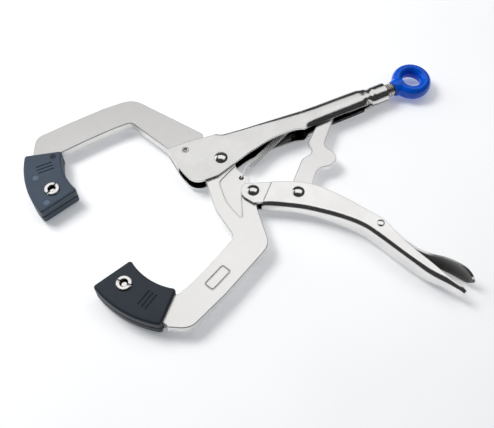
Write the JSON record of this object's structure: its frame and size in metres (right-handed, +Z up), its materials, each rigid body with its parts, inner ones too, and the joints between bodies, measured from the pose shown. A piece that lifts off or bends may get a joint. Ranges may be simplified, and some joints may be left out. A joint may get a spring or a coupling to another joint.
{
  "type": "locking pliers",
  "caption": "C-clamp locking pliers: channel handles, toggle link, adjusting screw with a coated eye, and long jaws that end in plastic pads.",
  "frame": {"origin": "centre of the bounding box, on the surface that the tool lies on", "axes": "+X back along the adjusting screw to its eye, +Y to the upper jaw's side, +Z up out of the tool's flat side"},
  "size_m": [0.2978, 0.2348, 0.0162],
  "materials": {
    "upper_handle_nickel": "polished nickel plate",
    "upper_jaw_nickel": "satin nickel plate",
    "dowel_steel": "polished steel",
    "main_rivet_steel": "polished steel",
    "lower_jaw_nickel": "satin nickel plate",
    "handle_rivet_steel": "polished steel",
    "lower_handle_nickel": "polished nickel plate",
    "link_rivet_steel": "polished steel",
    "lever_rivet_steel": "polished steel",
    "spacer_near_steel": "turned steel",
    "spacer_far_steel": "turned steel",
    "link_nickel": "satin nickel plate",
    "lever_nickel": "polished nickel plate",
    "tip_steel": "hardened steel",
    "screw_nickel": "nickel plate",
    "blue_vinyl": "glossy vinyl dip",
    "spring_steel": "spring wire",
    "upper_pad_near_plastic": "satin moulded plastic",
    "upper_pad_far_plastic": "satin moulded plastic",
    "upper_nut_steel": "polished steel",
    "upper_screw_steel": "polished steel",
    "lower_pad_near_plastic": "satin moulded plastic",
    "lower_pad_far_plastic": "satin moulded plastic",
    "lower_nut_steel": "polished steel",
    "lower_screw_steel": "polished steel"
  },
  "bodies": {
    "root": {"upper_handle": "upper_handle_nickel", "upper_jaw": "upper_jaw_nickel", "jaw_dowel": "dowel_steel", "main_pivot_rivet": "main_rivet_steel", "upper_pad_near_half": "upper_pad_near_plastic", "upper_pad_far_half": "upper_pad_far_plastic", "upper_pad_nut": "upper_nut_steel", "upper_pad_screw": "upper_screw_steel", "return_spring": "spring_steel"},
    "lower_jaw": {"lower_jaw": "lower_jaw_nickel", "handle_pivot_rivet": "handle_rivet_steel", "lower_pad_near_half": "lower_pad_near_plastic", "lower_pad_far_half": "lower_pad_far_plastic", "lower_pad_nut": "lower_nut_steel", "lower_pad_screw": "lower_screw_steel"},
    "lower_handle": {"lower_handle": "lower_handle_nickel", "link_pivot_rivet": "link_rivet_steel", "lever_pivot_rivet": "lever_rivet_steel", "link_spacer_near": "spacer_near_steel", "link_spacer_far": "spacer_far_steel"},
    "toggle_link": {"toggle_link": "link_nickel"},
    "release_lever": {"release_lever": "lever_nickel"},
    "screw_carriage": {"screw_thrust_tip": "tip_steel"},
    "adjusting_screw": {"adjusting_screw": "screw_nickel", "eye_coating": "blue_vinyl"}
  },
  "joints": [
    {"name": "jaw_close", "type": "hinge", "parent": "root", "child": "lower_jaw", "pos_m": [-0.0231, 0.03905, 0.0082], "axis": [0, 0, -1], "range_deg": [0, 31], "stiffness_Nm_per_rad": 0.2, "springref_deg": -17.19, "deforming": ["return_spring"]},
    {"name": "handle_close", "type": "hinge", "parent": "lower_jaw", "child": "lower_handle", "pos_m": [-0.0157, 0.00545, 0.0082], "axis": [0, 0, 1], "range_deg": [0, 77.5]},
    {"name": "link_swing", "type": "hinge", "parent": "lower_handle", "child": "toggle_link", "pos_m": [0.0103, -0.00905, 0.0082], "axis": [0, 0, -1], "range_deg": [0, 69.1]},
    {"name": "release_press", "type": "hinge", "parent": "lower_handle", "child": "release_lever", "pos_m": [0.04495, -0.05435, 0.0082], "axis": [0, 0, -1], "range_deg": [0, 5]},
    {"name": "screw_travel", "type": "slide", "parent": "root", "child": "screw_carriage", "axis": [1, 0, 0], "range_m": [0, 0.024]},
    {"name": "screw_turn", "type": "hinge", "parent": "screw_carriage", "child": "adjusting_screw", "pos_m": [0.07715, 0.04305, 0.0082], "axis": [1, 0, 0], "range_deg": [0, 5765]}
  ],
  "couplings": [
    {"joint": "handle_close", "follows": "jaw_close", "ratio": 2.4971},
    {"joint": "link_swing", "follows": "jaw_close", "ratio": 2.2249},
    {"joint": "screw_turn", "follows": "screw_travel", "rad_per_m": 4188.8}
  ]
}
